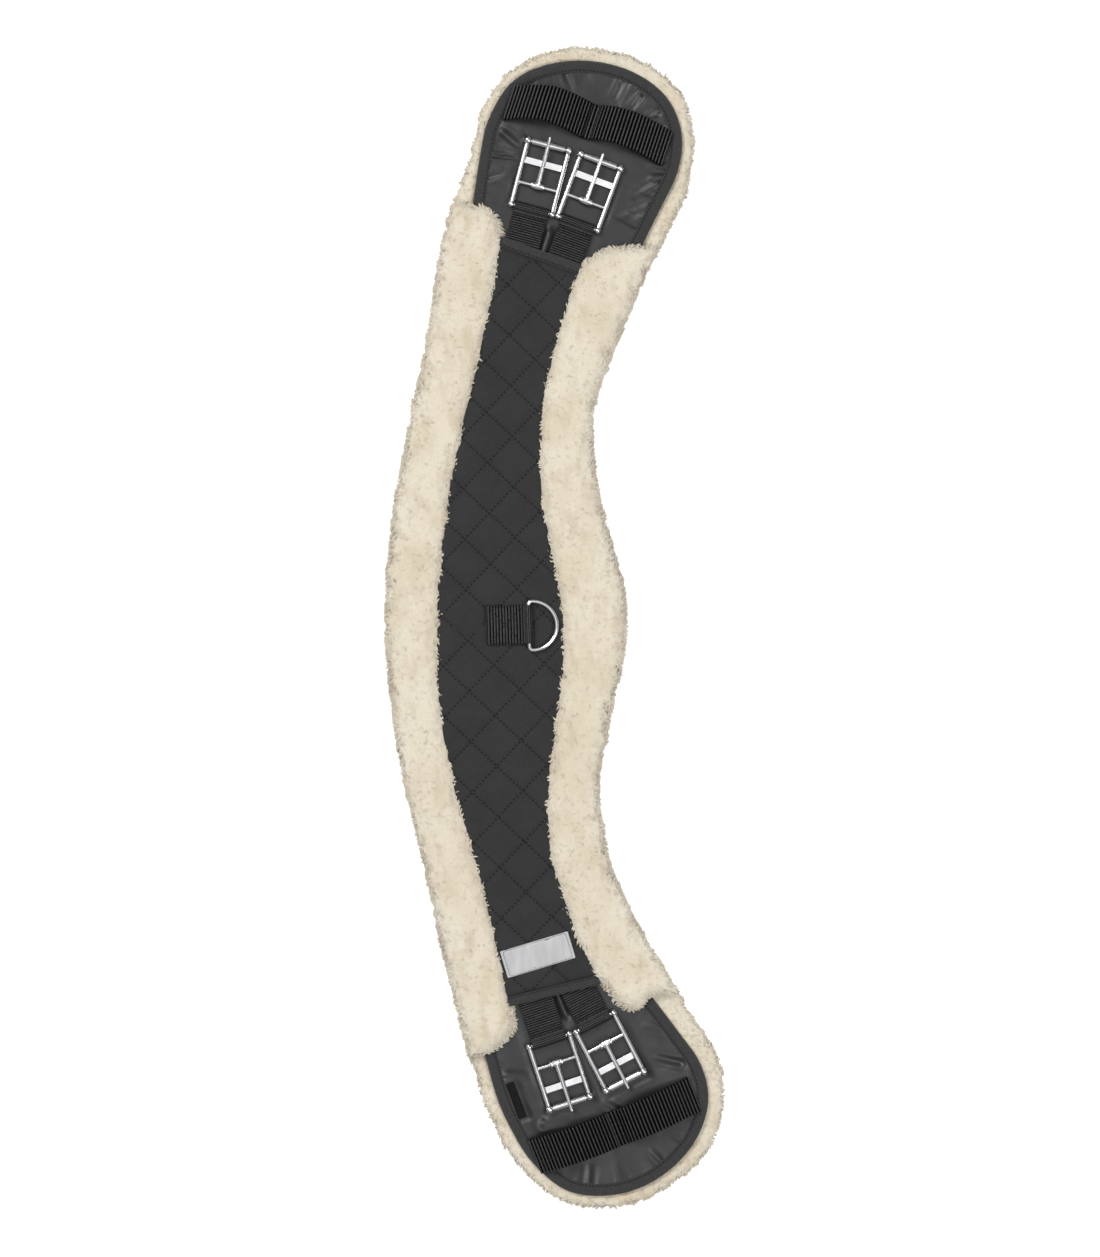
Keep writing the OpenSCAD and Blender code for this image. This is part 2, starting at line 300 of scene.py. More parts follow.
def plate(shape, loop, step, top, low):
    """A closed flat piece: top(xy, distance to the edge) gives its upper surface."""
    edge = resampled(loop, step, closed=True)
    low_corner, high_corner = edge.min(0), edge.max(0)
    rows = np.arange(low_corner[1], high_corner[1], step * 0.866)
    inner = np.concatenate([
        [(x, y) for x in np.arange(low_corner[0] + (i % 2) * step / 2, high_corner[0], step)]
        for i, y in enumerate(rows)])
    inner = inner[inside_distance(inner, edge) > step * 0.6]
    xy = np.concatenate([edge, inner])
    n = len(edge)
    found = delaunay_2d_cdt([Vector(p) for p in xy], [], [list(range(n))], 1, 1e-4)
    flat = np.array([p[:] for p in found[0]])
    source = [ids[0] if ids else -1 for ids in found[3]]
    place = {s: i for i, s in enumerate(source)}
    distance = np.maximum(inside_distance(flat, edge), 0)
    upper = np.column_stack([flat, top(flat, distance)])
    triangles = facing_up(flat, np.array(found[2]))
    # Points where two halves meet take the slope of the surface as their shading
    slopes = [(top(flat + aside, distance) - top(flat - aside, distance)) / (2 * SLOPE_REACH)
              for aside in SLOPE_REACH * np.eye(2)]
    facing = np.column_stack([-slopes[0], -slopes[1], np.ones(len(flat))])
    shape.add(upper, triangles, normals=unit(facing) * (np.abs(flat[:, 1:]) < 0.01))
    base = shape.count - len(upper)
    ring = [place[i] for i in range(n)]
    under = delaunay_2d_cdt([Vector(p) for p in edge], [], [list(range(n))], 1, 1e-4)
    lower = np.column_stack([edge, np.full(n, float(low))])
    start = shape.count
    below = np.array([[under[3][i][0] for i in f] for f in under[2]])
    shape.add(lower, facing_up(edge, below)[:, ::-1])
    for i in range(n):
        j = (i + 1) % n
        shape.faces.append([base + ring[i], start + i, start + j, base + ring[j]])
        shape.kinds.append(0)


def sweep(shape, path, across, up, profile):
    """A closed profile of [across, up] points, carried along a path and capped."""
    path, across, up, profile = (np.asarray(k, float) for k in (path, across, up, profile))
    points = (path[:, None] + profile[None, :, :1] * across[:, None]
              + profile[None, :, 1:] * up[:, None])
    faces = tube_faces(len(path), len(profile))
    ahead = np.roll(profile, -1, axis=0)
    area = np.cross(profile, ahead).sum()
    if area * (np.cross(across[0], up[0]) @ (path[1] - path[0])) < 0:
        faces = [face[::-1] for face in faces]
    shape.add(points, faces)


# The second of a piece's materials is its thread; the third, where there is one, is a near-black
# painted shade for the faces in rib grooves
THREAD_KIND, PAINTED_SHADE_KIND = 1, 2


def stitches(shape, line, pitch, length, radius, sway=0.0):
    """Short thread beads along a line of [x, y, z] points."""
    line = np.asarray(line, float)
    at = resampled(line, pitch)
    if len(at) < 2:
        return
    middle = (at[1:] + at[:-1]) / 2
    way = unit(at[1:] - at[:-1])
    side = unit(np.cross(way, [0, 0, 1.0]))
    if sway:
        turn = np.where(np.arange(len(way)) % 2 == 0, sway, -sway)[:, None]
        way, side = (way * np.cos(turn) + side * np.sin(turn),
                     side * np.cos(turn) - way * np.sin(turn))
    up = np.cross(side, way)
    rings = [(-0.5, 0.35), (-0.3, 0.95), (0, 1.0), (0.3, 0.95), (0.5, 0.35)]
    angles = np.arange(6)[:, None] * math.pi / 3
    beads = np.stack([
        middle[:, None] + (way * length * a)[:, None]
        + radius * r * (side[:, None] * np.cos(angles) + up[:, None] * np.sin(angles))
        for a, r in rings], 1)
    count = len(middle)
    one = grid_faces(5, 6)[:, ::-1]
    caps = [[5, 4, 3, 2, 1, 0], [24, 25, 26, 27, 28, 29]]
    faces = (one[None] + 30 * np.arange(count)[:, None, None]).reshape(-1, 4).tolist()
    faces += [[i + 30 * k for i in cap] for k in range(count) for cap in caps]
    shape.add(beads.reshape(-1, 3), faces, THREAD_KIND)


def sewn_rows(shape, place, rows, height, *stitch):
    """Straight rows [u, v, u, v] of stitches, which place puts on the girth."""
    for u0, v0, u1, v1 in rows:
        stitches(shape, place([[u0, v0, height], [u1, v1, height]]), *stitch)


def surface_nets(field, origin, step):
    """A closed quad mesh round the positive part of a field on a regular grid."""
    inside = field > 0
    corners = list(np.ndindex(2, 2, 2))
    n = [k - 1 for k in field.shape]

    def at(c, values):
        return values[c[0]:c[0] + n[0], c[1]:c[1] + n[1], c[2]:c[2] + n[2]]

    filled = sum(at(c, inside).astype(int) for c in corners)
    active = (filled > 0) & (filled < 8)
    cells = np.argwhere(active)
    total, crossings = np.zeros((len(cells), 3)), np.zeros(len(cells))
    for a in corners:
        for axis in range(3):
            if a[axis]:
                continue
            b = tuple(v + (k == axis) for k, v in enumerate(a))
            fa, fb = at(a, field)[active], at(b, field)[active]
            hit = (fa > 0) != (fb > 0)
            t = np.where(hit, fa / np.where(hit, fa - fb, 1), 0)
            point = np.tile(np.array(a, float), (len(cells), 1))
            point[:, axis] += t
            total[hit] += point[hit]
            crossings += hit
    points = origin + (cells + total / crossings[:, None]) * step
    index = np.full(active.shape, -1)
    index[active] = np.arange(len(cells))
    quads = []
    for axis in range(3):
        o1, o2 = (axis + 1) % 3, (axis + 2) % 3
        a = [slice(1, -1)] * 3
        b = list(a)
        a[axis], b[axis] = slice(0, -1), slice(1, None)
        change = inside[tuple(a)].astype(int) - inside[tuple(b)].astype(int)
        where = np.argwhere(change != 0)
        where[:, o1] += 1
        where[:, o2] += 1
        sign = change[change != 0]

        def cell(d1, d2):
            k = where.copy()
            k[:, o1] -= d1
            k[:, o2] -= d2
            return index[k[:, 0], k[:, 1], k[:, 2]]

        quad = np.stack([cell(1, 1), cell(0, 1), cell(0, 0), cell(1, 0)], -1)
        quad[sign < 0] = quad[sign < 0][:, ::-1]
        quads.append(quad)
    return points, np.concatenate(quads), cells


def quad_normals(points, quads):
    """Each point's normal, as the mean of the quads round it."""
    a, b, c, d = (points[quads[:, k]] for k in range(4))
    face = np.cross(c - a, d - b)
    out = np.zeros_like(points)
    for k in range(4):
        np.add.at(out, quads[:, k], face)
    return unit(out)


# ---- materials

class Finish:
    """A Principled material. Textures are functions that add their nodes to it."""

    def __init__(self, name, colour, roughness, **sockets):
        self.item = bpy.data.materials.new(name)
        self.item.use_nodes = True
        self.shader = self.item.node_tree.nodes["Principled BSDF"]
        self.place = self.node("TexCoord").outputs["Object"]
        self.shader.inputs["Base Color"].default_value = (*colour, 1)
        self.shader.inputs["Roughness"].default_value = roughness
        for key, value in sockets.items():
            self.shader.inputs[key.replace("_", " ")].default_value = value
        self.colour, self.normal = (*colour, 1), None

    def feed(self, socket, value):
        """Sets an input, or links an output to it."""
        if isinstance(value, bpy.types.NodeSocket):
            self.item.node_tree.links.new(value, socket)
        else:
            socket.default_value = value

    def node(self, kind, **inputs):
        node = self.item.node_tree.nodes.new(f"ShaderNode{kind}")
        for key, value in inputs.items():
            self.feed(node.inputs[key.replace("_", " ")], value)
        return node

    def tint(self, texture, colour, low=0.35, high=0.65):
        """Blends towards a colour where a texture is high."""
        share = self.node("MapRange", Value=texture(self), From_Min=low, From_Max=high)
        mix = self.node("Mix")
        mix.data_type = "RGBA"
        self.feed(mix.inputs["Factor"], share.outputs["Result"])
        self.feed(mix.inputs[6], self.colour)
        self.feed(mix.inputs[7], (*colour, 1))
        self.colour = mix.outputs[2]
        self.feed(self.shader.inputs["Base Color"], self.colour)
        return self

    def rough(self, texture, low, high):
        node = self.node("MapRange", Value=texture(self), To_Min=low, To_Max=high)
        self.feed(self.shader.inputs["Roughness"], node.outputs["Result"])
        return self

    def bump(self, texture, height, strength=1.0):
        node = self.node("Bump", Height=texture(self), Distance=height * MM, Strength=strength)
        if self.normal is not None:
            self.feed(node.inputs["Normal"], self.normal)
        return self.bent(node)

    def soft_edges(self, radius):
        return self.bent(self.node("Bevel", Radius=radius * MM))

    def bent(self, node):
        self.normal = node.outputs["Normal"]
        self.feed(self.shader.inputs["Normal"], self.normal)
        return self


def spots(size, detail=3.0, stretch=None, turn=0.0):
    """Noise with features about size across, for a finish."""
    def build(finish):
        place = finish.place
        if stretch:
            place = finish.node("Mapping", Vector=place, Scale=stretch,
                                Rotation=(0, 0, turn)).outputs["Vector"]
        return finish.node("TexNoise", Vector=place, Scale=1 / (size * MM),
                           Detail=detail).outputs["Fac"]
    return build


def stripes(pitch, turn, distortion):
    """Waves a pitch apart, for a finish."""
    def build(finish):
        place = finish.node("Mapping", Vector=finish.place, Rotation=(0, 0, turn)).outputs["Vector"]
        return finish.node("TexWave", Vector=place, Scale=2 * math.pi / (20 * pitch * MM),
                           Distortion=distortion, Detail_Scale=3).outputs["Fac"]
    return build


def grey(level, blue=0.0):
    return level, level, level + blue


FLEECE = Finish("fleece", (0.75, 0.68, 0.545), 0.95, Sheen_Weight=0.8, Sheen_Roughness=0.6,
                Specular_IOR_Level=0.2)
FLEECE.tint(spots(30, 4), (0.70, 0.615, 0.47), 0.42, 0.62)
FLEECE.tint(spots(9, 4, (1, 0.45, 1), 0.5), (0.63, 0.54, 0.40), 0.50, 0.72)
FLEECE.tint(spots(1.6), (0.60, 0.52, 0.40), 0.55, 0.85)
FLEECE.rough(spots(5), 0.88, 1.0).bump(spots(3.2), 1.1, 0.7).bump(spots(0.9, 2), 0.45, 0.8)

QUILTING = Finish("quilted_fabric", grey(0.028, 0.001), 0.82, Sheen_Weight=0.12,
                  Specular_IOR_Level=0.25)
QUILTING.tint(spots(22), grey(0.023, 0.001)).tint(spots(0.7, 2), grey(0.040, 0.001), 0.5, 0.8)
QUILTING.rough(spots(1.2), 0.74, 0.9)
QUILTING.bump(stripes(0.55, 0.8, 1.5), 0.05, 0.5).bump(spots(0.5, 2), 0.08, 0.5)

BINDING = Finish("binding", grey(0.034), 0.9, Sheen_Weight=0.2, Specular_IOR_Level=0.2)
BINDING.tint(spots(0.9), grey(0.06), 0.45, 0.8).rough(spots(2), 0.82, 0.96)
BINDING.bump(stripes(0.9, 0.785, 2), 0.1, 0.6).bump(spots(0.6, 2), 0.12, 0.6)

SATIN = Finish("satin", grey(0.0145, 0.001), 0.36, Sheen_Weight=0.2, Sheen_Roughness=0.35,
               Specular_IOR_Level=0.45)
SATIN.tint(spots(30), grey(0.019, 0.0015)).rough(spots(9), 0.30, 0.44)
SATIN.bump(stripes(0.35, 0.35, 0.5), 0.02, 0.4).bump(spots(6), 0.25, 0.35)

WEBBING = Finish("webbing", grey(0.009, 0.0004), 0.30, Specular_IOR_Level=0.45)
WEBBING.tint(spots(1.5), grey(0.018, 0.0005), 0.45, 0.75).rough(spots(3), 0.25, 0.42)
WEBBING.bump(stripes(0.8, 1.2, 1.0), 0.12, 0.6).bump(spots(0.5, 2), 0.08, 0.5)

ELASTIC = Finish("elastic", grey(0.026, 0.001), 0.55, Specular_IOR_Level=0.4)
ELASTIC.tint(spots(1.4), grey(0.055, 0.001), 0.45, 0.75).rough(spots(3), 0.45, 0.7)
ELASTIC.bump(spots(0.7, 2), 0.15, 0.6)

# Painted shade: a near-black, unreflecting finish put on the faces deep in rib grooves, where
# shadow would fall
PAINTED_GROOVE_SHADE = Finish("webbing_groove_painted_shade", grey(0.0015), 0.9, Specular_IOR_Level=0.0)
PAINTED_GROOVE_SHADE.tint(spots(1, 2), grey(0.003)).bump(spots(0.5, 2), 0.1, 0.5)

THREAD = Finish("thread", grey(0.006), 0.55, Specular_IOR_Level=0.3)
THREAD.tint(spots(0.6, 2), grey(0.016)).bump(spots(0.3, 2), 0.05, 0.5)

PALE_THREAD = Finish("pale_thread", grey(0.10), 0.6)
PALE_THREAD.tint(spots(0.6, 2), grey(0.17)).bump(spots(0.3, 2), 0.05, 0.5)

STEEL = Finish("steel", grey(0.78, 0.01), 0.08, Metallic=1.0)
STEEL.tint(spots(8), grey(0.66, 0.02)).soft_edges(0.35)
STEEL.rough(spots(3, 4), 0.05, 0.12).bump(spots(1.2), 0.01, 0.4)

LABEL = Finish("label", grey(0.53, 0.01), 0.45, Sheen_Weight=0.2, Specular_IOR_Level=0.5)
LABEL.tint(spots(5, 3, (1, 0.2, 1), 0.3), grey(0.45, 0.01)).rough(spots(2), 0.36, 0.52)
LABEL.bump(stripes(0.5, 0.3, 0.4), 0.05, 0.5)

TAG = Finish("size_tag", grey(0.003), 0.7, Specular_IOR_Level=0.15)
TAG.tint(spots(0.8, 2), grey(0.008, 0.001)).rough(spots(1.5), 0.6, 0.8)
TAG.bump(stripes(0.6, 1.57, 0.4), 0.08, 0.6)


def bends(piece):
    """Bakes a long half's placement into its mesh."""
    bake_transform(piece)


# ---- fleece

FLEECE_LOOP = long_outline("fleece")
ROLL_LOOPS = [long_outline(f"fleece_roll_{side}") for side in SIDES]
PANEL_LOOP = long_outline("quilted_panel")
FLAP_LOOPS = {end: outline(f"end_flap_{end}") for end in ENDS}
fleece_depth = DistanceMap(FLEECE_LOOP)
roll_depths = [DistanceMap(loop) for loop in ROLL_LOOPS]
panel_depth = DistanceMap(PANEL_LOOP)
flap_depths = [DistanceMap(loop) for loop in FLAP_LOOPS.values()]


def deepest(maps, xy):
    return np.max([depth(xy) for depth in maps], 0)


VOXEL = 1.6
FLEECE_LOW = 0.6
ROLL_ROUND, LINING_ROUND = (ROLL_TOP - FLEECE_LOW) / 2, 4.4
PILE_INSET, PILE_OUT = 1.7, {"upper": 0.5, "lower": 1.2}  # the pile is longer round the ends
JOIN = 2.5  # how softly the rolls run into the lining


def slab(distance, z, low, high, rounding):
    """Signed depth inside a slab with rounded edges, positive inside."""
    side = rounding - distance
    face = np.abs(z - (low + high) / 2) - (high - low) / 2 + rounding
    outside = np.hypot(np.maximum(side, 0), np.maximum(face, 0))
    return rounding - outside - np.minimum(np.maximum(side, face), 0)


def fleece_surface():
    low = FLEECE_LOOP.min(0) - 4
    high = FLEECE_LOOP.max(0) + 4
    # A row of cells is centred on y = 0, where the two halves meet
    first = -VOXEL * (math.ceil(-low[1] / VOXEL) + 0.5)
    x = np.arange(low[0], high[0], VOXEL)
    y = np.arange(first, high[1] + VOXEL, VOXEL)
    z = np.arange(-2.2, ROLL_TOP + 4, VOXEL)
    gx, gy = np.meshgrid(x, y, indexing="ij")
    xy = np.stack([gx.ravel(), gy.ravel()], -1)
    v = np.where(xy[:, 1] > 0, end_frame("upper", xy)[1], end_frame("lower", xy)[1])
    ragged = smoothstep(-30, 10, v)
    edge = fleece_depth(xy) - PILE_INSET + ragged * np.where(xy[:, 1] > 0, *PILE_OUT.values())
    edge += (0.7 + 0.3 * ragged) * noise(xy, 5, 11) + (0.5 + 0.4 * ragged) * noise(xy, 2.8, 12)
    roll = (deepest(roll_depths, xy) + 2.6 * (1 - smoothstep(-22, -8, v))
            + 0.5 * noise(xy, 4, 13) + 0.4 * noise(xy, 2.6, 14))
    shape = gx.shape + (1,)
    edge, roll = edge.reshape(shape), np.minimum(roll, edge).reshape(shape)
    lining = slab(edge, z, FLEECE_LOW, FLEECE_TOP, LINING_ROUND)
    rolls = slab(roll, z, FLEECE_LOW, ROLL_TOP, ROLL_ROUND)
    blend = np.clip(0.5 + 0.5 * (rolls - lining) / JOIN, 0, 1)
    field = rolls * blend + lining * (1 - blend) + JOIN * blend * (1 - blend)
    points, quads, cells = surface_nets(field, np.array([x[0], first, z[0]]), VOXEL)
    middle = int(round(-first / VOXEL - 0.5))
    return points, quads, cells[:, 1], middle


def covered(points):
    """How far points lie under the flaps or the panel, in millimetres."""
    depth = deepest([panel_depth, *flap_depths], points)
    return np.where(points[:, 2] < FLEECE_TOP + 1.5, depth, -9)


points, quads, rows, middle_row = fleece_surface()
normals = quad_normals(points, quads)
hidden = (covered(points) > -1.5) & (normals[:, 2] > 0)
lumps = (0.9 * noise(points, 34, 1) + 0.55 * noise(points, 11, 2) + 0.45 * noise(points, 5.5, 3)
         + 0.5 * noise(points, 2.9, 4))
below = normals[:, 2] < -0.5
lumps = np.where(hidden, -0.35, np.where(below, 0.35 * lumps, lumps))
points = points + normals * lumps[:, None]
points[:, 2] = np.maximum(points[:, 2], ABOVE_FLOOR + 0.05)
normals = quad_normals(points, quads)

for end in ENDS:
    own = quads[((rows[quads] - middle_row) * END_SIGN[end] >= 0).all(1)]
    used, faces = np.unique(own, return_inverse=True)
    faces = faces.reshape(own.shape)
    shape = Shape()
    at_seam = (rows[used] == middle_row)[:, None]
    shape.add(points[used], faces, normals=normals[used] * at_seam)
    ahead = np.roll(faces, -1, axis=1)
    follows = dict.fromkeys(zip(faces.ravel().tolist(), ahead.ravel().tolist()))
    rim = {b: a for a, b in follows if (b, a) not in follows}
    shape.faces.append(walk(rim, next(iter(rim))))
    shape.kinds.append(0)
    piece = shape.make(f"fleece_half_{end}", "fleece", FLEECE)
    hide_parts(*[f"{kind}_{third}"
                         for kind in ("fleece", "fleece_roll_left", "fleece_roll_right")
                         for third in ("centre", end)])
    bends(piece)


def tufts(name, end, chance, lengths, radius, lift, seed):
    """Curved pointed tufts on the fleece, as chance(point, normal) per square millimetre says."""
    corners = points[quads]
    centre = corners.mean(1)
    mine = centre[:, 1] * END_SIGN[end] > 0
    diagonals = corners[:, 2:] - corners[:, :2]
    area = 0.5 * np.linalg.norm(np.cross(diagonals[:, 0], diagonals[:, 1]), axis=1)
    normal = normals[quads].mean(1)
    rng = np.random.default_rng(seed)
    wanted = chance(centre, normal) * area * mine
    count = np.floor(wanted + rng.random(len(wanted))).astype(int)
    pick = np.repeat(np.arange(len(quads)), count)
    n = len(pick)
    weight = rng.dirichlet((1, 1, 1, 1), n)
    root = (corners[pick] * weight[..., None]).sum(1)
    up = unit(normal[pick])
    swirl = 2.5 * math.pi * noise(root, 26, seed + 1) + rng.normal(0, 0.5, n)
    lay = np.stack([np.cos(swirl), np.sin(swirl), -0.15 * np.ones(n)], -1)
    lay = unit(lay - up * (lay * up).sum(1, keepdims=True))
    rise = lift + rng.normal(0, 0.12, n)
    way = up * rise[:, None] + lay * np.sqrt(np.clip(1 - rise ** 2, 0.05, 1))[:, None]
    long = rng.uniform(*lengths, n)[:, None]
    thick = radius * rng.uniform(0.75, 1.25, n)
    side = unit(np.cross(way, up) + 1e-6)
    other = np.cross(way, side)
    base = root - up * 0.7
    bend = base + way * long * 0.55
    tip = bend + (way * 0.75 + lay * 0.35 - up * 0.12) * long * 0.45
    angle = np.arange(3) * 2 * math.pi / 3
    ring = side[:, None] * np.cos(angle)[:, None] + other[:, None] * np.sin(angle)[:, None]
    body = np.concatenate([
        base[:, None] + ring * thick[:, None, None],
        bend[:, None] + ring * 0.72 * thick[:, None, None], tip[:, None]], 1)
    body[..., 2] = np.maximum(body[..., 2], ABOVE_FLOOR)
    one = [[0, 1, 4, 3], [1, 2, 5, 4], [2, 0, 3, 5], [3, 4, 6], [4, 5, 6], [5, 3, 6], [2, 1, 0]]
    faces = [[i + 7 * k for i in face] for k in range(n) for face in one]
    # Tufts are shaded mostly as the fleece that they grow from, so that the pile looks soft
    shading = np.repeat(up[:, None], 7, axis=1)
    shading[:, :6] += 0.35 * np.tile(ring, (1, 2, 1))
    shading[..., 2] += 0.8 * smoothstep(-0.5, 0.1, up[:, 2:])
    shape = Shape()
    shape.add(body.reshape(-1, 3), faces, normals=unit(shading).reshape(-1, 3))
    bends(shape.make(name, "fleece", FLEECE))


def fringe(centre):
    """1 on the fleece that shows round the ends, 0 on the rolls."""
    return (deepest(roll_depths, centre) < -0.5).astype(float)


def rim_chance(centre, normal):
    open_side = covered(centre) < -1.0
    steep = smoothstep(0.15, 0.9, 1 - np.abs(normal[:, 2]))
    return open_side * (normal[:, 2] > -0.7) * steep * (0.42 + 0.12 * fringe(centre))


def top_chance(centre, normal):
    open_side = covered(centre) < 1.0
    return open_side * (normal[:, 2] > 0.3) * (0.06 + 0.16 * fringe(centre))


# Tufts of each kind: chance, lengths, radius, rise and seed
TUFTS = {"rim": (rim_chance, (2.6, 5.4), 0.95, 0.82, 50),
         "top": (top_chance, (2.5, 4.5), 0.7, 0.42, 60)}
for number, end in enumerate(ENDS):
    for kind, (*growth, seed) in TUFTS.items():
        tufts(f"fleece_{kind}_tufts_{end}", end, *growth, seed + number)


# ---- quilted panel

QUILT = 36.5  # between two parallel lines of quilting, along x
QUILT_AT = np.array([-57.0, 101.3])
PUFF, GROOVE, GROOVE_W = 0.9, 0.55, 1.6


def quilt_distance(xy):
    """Distance to the nearest line of quilting."""
    d = xy - QUILT_AT
    lines = np.stack([d[:, 0] + d[:, 1], d[:, 0] - d[:, 1]], -1)
    off = np.abs((lines + QUILT / 2) % QUILT - QUILT / 2) / math.sqrt(2)
    return off.min(1), off


def panel_height(xy, distance=None):
    near, both = quilt_distance(xy)
    crown = np.clip(both[:, 0] * both[:, 1] / (12.9 ** 2 / 4 * 2), 0, 1)
    height = PANEL_TOP - 0.25 + PUFF * np.sqrt(crown) - GROOVE * np.exp(-(near / GROOVE_W) ** 2)
    pucker = noise(xy, 7, 21) * np.exp(-(near / 5) ** 2)
    height += 0.35 * pucker + 0.35 * noise(xy, 24, 22) + 0.12 * noise(xy, 3.5, 23)
    tab_low, tab_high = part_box("d_ring_tab")
    under_tab = 1
    for axis in range(2):
        under_tab = (under_tab * smoothstep(-4, 0, xy[:, axis] - tab_low[axis] / MM)
                     * smoothstep(-4, 0, tab_high[axis] / MM - xy[:, axis]))
    height = height * (1 - under_tab) + np.minimum(height, PANEL_TOP + 0.25) * under_tab
    if distance is not None:
        height -= 1.6 * (1 - smoothstep(0, 3, distance))
    return height


def cut_loop(loop, end):
    """The part of a long outline on one end's side of y = 0."""
    sign = END_SIGN[end]
    out = []
    for a, b in zip(loop, np.roll(loop, -1, axis=0)):
        if a[1] * sign > 0:
            out.append(a)
        if (a[1] > 0) != (b[1] > 0):
            t = a[1] / (a[1] - b[1])
            out.append(np.array([a[0] + t * (b[0] - a[0]), 0.0]))
    return np.array(out)


for end in ENDS:
    shape = Shape()
    half = cut_loop(PANEL_LOOP, end)
    plate(shape, half, 1.7, lambda xy, d: panel_height(xy, np.maximum(panel_depth(xy), 0)),
          PANEL_LOW)
    low, high = half.min(0), half.max(0)
    for way in (1, -1):
        for k in range(-30, 31):
            t = np.arange(-500, 500, 1.6)
            line = np.stack([t, (k * QUILT - t) * way], -1) + QUILT_AT
            line = line[(line[:, 1] * END_SIGN[end] > 0.5)
                        & ((line > low) & (line < high)).all(1)]
            line = line[inside_distance(line, half) > 1.0]
            if len(line) > 2:
                z = panel_height(line) + GROOVE
                stitches(shape, np.column_stack([line, z]), *QUILT_STITCH)
    piece = shape.make(f"quilted_panel_half_{end}", "quilted_fabric", QUILTING, THREAD)
    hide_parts(*[f"{kind}_{third}" for kind in ("padding", "core_webbing", "quilted_panel")
                         for third in ("centre", end)])
    bends(piece)

for end in ENDS:
    loop = outline(f"panel_binding_{end}")
    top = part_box(f"panel_binding_{end}")[1].z / MM
    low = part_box(f"panel_binding_{end}")[0].z / MM
    shape = Shape()
    plate(shape, loop, 1.2, lambda xy, d: top + 0.5 - 1.3 * (1 - smoothstep(0, 2.4, d)) ** 2
          + 0.12 * noise(xy, 5, 31), low)
    u, v = end_frame(end, loop)
    halfway = (u.min() + u.max()) / 2
    ends_uv = [[u[pick].mean(), v[pick].min() + 1.3] for pick in (u < halfway, u >= halfway)]
    sewn_rows(shape, partial(turned, end), [sum(ends_uv, [])], top + 0.45, *CROSS_BINDING_STITCH)
    piece = shape.make(f"panel_binding_piece_{end}", "binding", BINDING, THREAD)
    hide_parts(f"panel_binding_{end}")
    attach(piece, f"{end}_end")


# ---- end flaps

BUCKLES = [f"{end}_{side}" for end in ENDS for side in SIDES]


def buckle_frame(key):
    """The bar's centre, and the directions along and across a buckle."""
    joint = JOINTS[f"elastic_stretch_{key}"]
    out = np.array(joint["axis"])
    sign = END_SIGN[key.split("_")[0]]
    across = np.array([sign * out[1], -sign * out[0], 0])
    return np.array(joint["pos_m"]) / MM, across, out


def in_buckle(key, points):
    """Points [u, v, z] of a buckle's own frame, in the girth's frame."""
    at, across, out = buckle_frame(key)
    p = np.asarray(points, float)
    return at + p[..., :1] * across + p[..., 1:2] * out + p[..., 2:] * np.array([0, 0, 1.0])


# Creases of each flap: [u, v] of both ends, depth and width
CREASES = {
    "upper": [((-60, 38), (-41, 42), 1.5, 1.1), ((-60, 21), (-48, 29), 0.8, 2.0),
              ((-58, 56), (-42, 50), 0.9, 2.4), ((-30, 113), (-20, 100), 0.8, 2.2),
              ((12, 118), (10, 104), 0.9, 2.0), ((28, 112), (24, 101), 1.0, 1.8),
              ((44, 104), (36, 98), 0.9, 1.8), ((60, 56), (46, 40), 0.9, 3.0),
              ((62, 66), (50, 62), 0.8, 2.4), ((58, 38), (40, 22), 0.7, 3.2)],
    "lower": [((-48, 66), (-30, 70), 0.8, 3.0), ((-60, 24), (-46, 30), 0.6, 3.2),
              ((6, 78), (-4, 66), 0.9, 2.4),
              ((60, 62), (42, 50), 0.9, 2.2), ((57, 34), (44, 26), 0.6, 3.0),
              ((-34, 118), (-28, 106), 0.8, 2.2), ((20, 122), (16, 112), 0.7, 2.0)]}


# How strongly the satin is gathered along its binding
GATHER = {"upper": 1.2, "lower": 0.55}
BINDING_W = 8.3
tag_depth = DistanceMap(outline("size_tag"), step=0.8)


